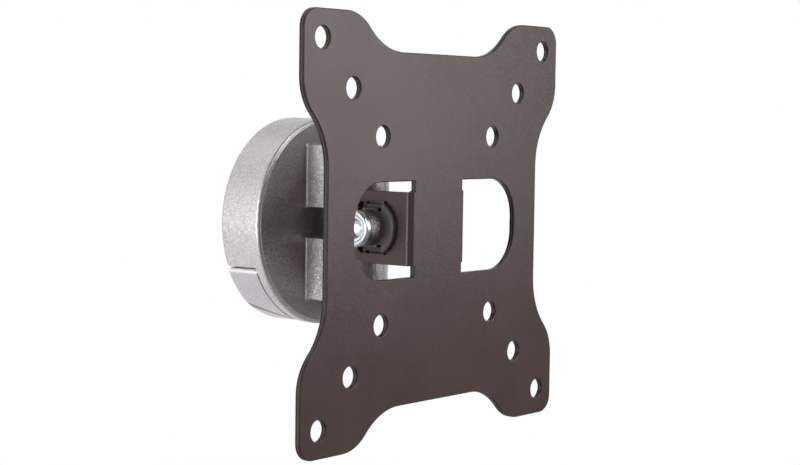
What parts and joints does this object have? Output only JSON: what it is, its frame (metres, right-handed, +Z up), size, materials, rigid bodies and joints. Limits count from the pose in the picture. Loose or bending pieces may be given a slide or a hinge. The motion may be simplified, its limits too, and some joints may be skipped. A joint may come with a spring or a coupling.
{
  "type": "monitor wall mount",
  "caption": "Wall mount for a flat monitor: a folded sheet steel screen plate tilts on a bolt, and its link swivels between the ears of a round cast wall base.",
  "frame": {"origin": "centre of the face that lies on the wall", "axes": "+Z up, +Y into the wall, the screen plate on the -Y side, +X to the right of someone who faces the wall"},
  "size_m": [0.1146, 0.0536, 0.1146],
  "materials": {
    "plate_coat": "satin dark brown-black powder coat",
    "silver_paint": "fine metallic sparkle silver paint on a casting",
    "cover_paint": "smooth silver painted plastic",
    "link_coat": "satin black coat on a casting",
    "zinc": "bright bluish zinc plate",
    "dark_steel": "blackened steel",
    "black_plastic": "moulded black plastic",
    "wall_casting": "satin black coat on a casting"
  },
  "bodies": {
    "base": {"base_housing": "silver_paint", "wall_plate": "wall_casting", "top_set_screw": "dark_steel", "lock_screw": "zinc", "swivel_bolt": "zinc", "swivel_washer": "zinc", "swivel_disc_spring": "dark_steel", "swivel_nut": "zinc"},
    "link": {"swivel_link": "link_coat", "swivel_bush_upper": "black_plastic", "swivel_bush_lower": "black_plastic"},
    "screen": {"screen_plate": "plate_coat", "tilt_bush_left": "black_plastic", "tilt_bush_right": "black_plastic", "tilt_bolt": "zinc", "tilt_washer": "zinc", "tilt_disc_spring": "dark_steel", "tilt_nut": "zinc", "friction_ring_left": "black_plastic", "friction_ring_right": "black_plastic"},
    "cover": {"bottom_cover": "cover_paint"}
  },
  "joints": [
    {"name": "swivel", "type": "hinge", "parent": "base", "child": "link", "pos_m": [0, -0.0236, 0], "axis": [0, 0, 1], "range_deg": [-40, 40]},
    {"name": "tilt", "type": "hinge", "parent": "link", "child": "screen", "pos_m": [0, -0.0407, 0], "axis": [1, 0, 0], "range_deg": [-12, 12]},
    {"name": "cover_slide", "type": "slide", "parent": "base", "child": "cover", "axis": [0, 0, -1], "range_m": [0, 0.02]}
  ]
}
